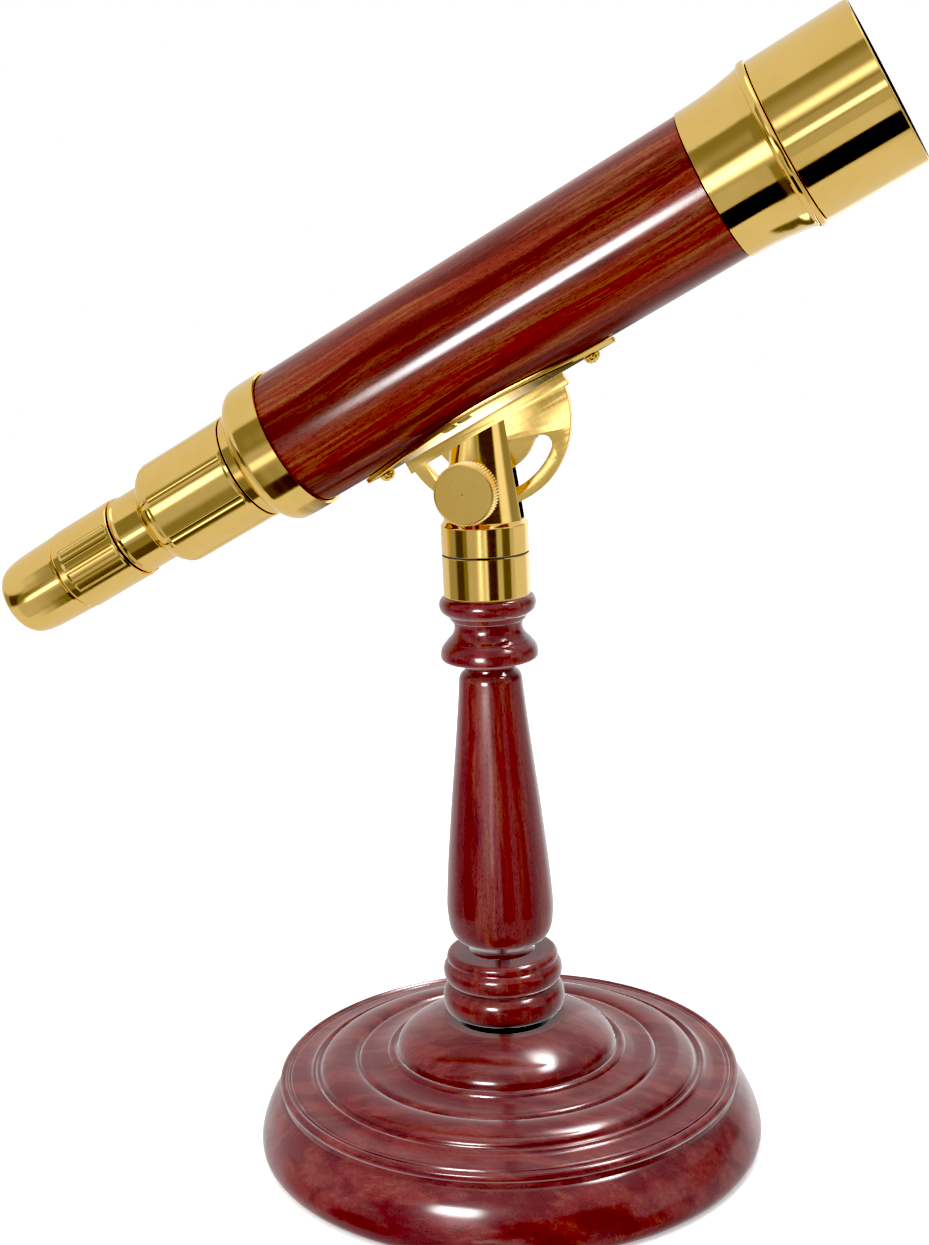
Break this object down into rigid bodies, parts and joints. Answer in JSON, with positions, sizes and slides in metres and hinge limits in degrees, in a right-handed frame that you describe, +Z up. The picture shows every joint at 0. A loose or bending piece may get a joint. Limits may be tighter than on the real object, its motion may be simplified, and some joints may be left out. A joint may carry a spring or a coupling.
{
  "type": "desk telescope",
  "caption": "Brass and mahogany refracting telescope that tilts on a slotted sector and swivels on a turned pillar with a round stepped base.",
  "frame": {"origin": "Middle of the base's underside, on the pillar's axis.", "axes": "+Z is up along the pillar. The telescope lies in the XZ plane, its objective towards +X and raised 27.4 degrees at rest. The clamp knob is on the -Y side."},
  "size_m": [0.3588, 0.2, 0.4192],
  "materials": {
    "brass": "polished and lacquered",
    "mahogany": "red-brown stain under gloss lacquer",
    "steel": "turned",
    "black_metal": "matt black anodised",
    "glass": "polished optical glass",
    "felt": "wool felt"
  },
  "bodies": {
    "stand": {"base": "mahogany", "base_felt": "felt", "tie_bolt": "steel", "tie_washer": "steel", "pillar": "mahogany", "socket_collar": "brass"},
    "yoke": {"yoke": "brass", "azimuth_bolt": "steel", "spring_washer": "steel", "guide_pin": "steel"},
    "clamp": {"clamp_knob": "brass", "clamp_stud": "steel", "clamp_washer": "brass"},
    "telescope": {"sector_plate": "brass", "saddle_plate": "brass", "saddle_screw_front": "brass", "saddle_screw_rear": "brass", "wood_tube": "mahogany", "main_tube": "black_metal", "rear_ring": "brass", "objective_bell": "brass", "hood": "brass", "objective_cell": "black_metal", "crown_lens": "glass", "lens_spacer": "black_metal", "flint_lens": "glass", "objective_retainer": "black_metal", "baffle_front": "black_metal", "baffle_rear": "black_metal", "barrel_core": "black_metal", "eyepiece_barrel": "brass", "eyepiece_core": "black_metal", "field_lens": "glass", "field_stop": "black_metal", "eye_lens": "glass", "eye_lens_retainer": "black_metal", "eyecup": "brass"},
    "focus_ring": {"focus_ring": "brass"},
    "focus_carriage": {"focus_carriage": "black_metal", "focus_pin": "steel", "erector_lens_front": "glass", "erector_lens_rear": "glass", "erector_retainer_front": "black_metal", "erector_retainer_rear": "black_metal"},
    "zoom_ring": {"zoom_ring": "brass"},
    "zoom_carriage": {"zoom_carriage": "black_metal", "zoom_pin": "steel", "zoom_lens": "glass", "zoom_lens_retainer": "black_metal"}
  },
  "joints": [
    {"name": "azimuth_swivel", "type": "hinge", "parent": "stand", "child": "yoke", "pos_m": [0, 0, 0.2375], "axis": [0, 0, 1], "continuous": true},
    {"name": "altitude_tilt", "type": "hinge", "parent": "yoke", "child": "telescope", "pos_m": [0.00159, 0, 0.28647], "axis": [0, -1, 0], "range_deg": [-27.4, 14]},
    {"name": "clamp_turn", "type": "hinge", "parent": "yoke", "child": "clamp", "pos_m": [0, -0.0225, 0.26263], "axis": [0, -1, 0], "range_deg": [0, 270]},
    {"name": "focus_turn", "type": "hinge", "parent": "telescope", "child": "focus_ring", "pos_m": [-0.11098, 0, 0.26158], "axis": [0.8878, 0, 0.4602], "range_deg": [-120, 120]},
    {"name": "focus_slide", "type": "slide", "parent": "telescope", "child": "focus_carriage", "axis": [0.8878, 0, 0.4602], "range_m": [-0.006, 0.006]},
    {"name": "zoom_turn", "type": "hinge", "parent": "telescope", "child": "zoom_ring", "pos_m": [-0.15803, 0, 0.23718], "axis": [0.8878, 0, 0.4602], "range_deg": [-75, 75]},
    {"name": "zoom_slide", "type": "slide", "parent": "telescope", "child": "zoom_carriage", "axis": [0.8878, 0, 0.4602], "range_m": [-0.005, 0.005]}
  ],
  "couplings": [
    {"joint": "focus_slide", "follows": "focus_turn", "m_per_rad": 0.00286},
    {"joint": "zoom_slide", "follows": "zoom_turn", "m_per_rad": 0.0038}
  ]
}
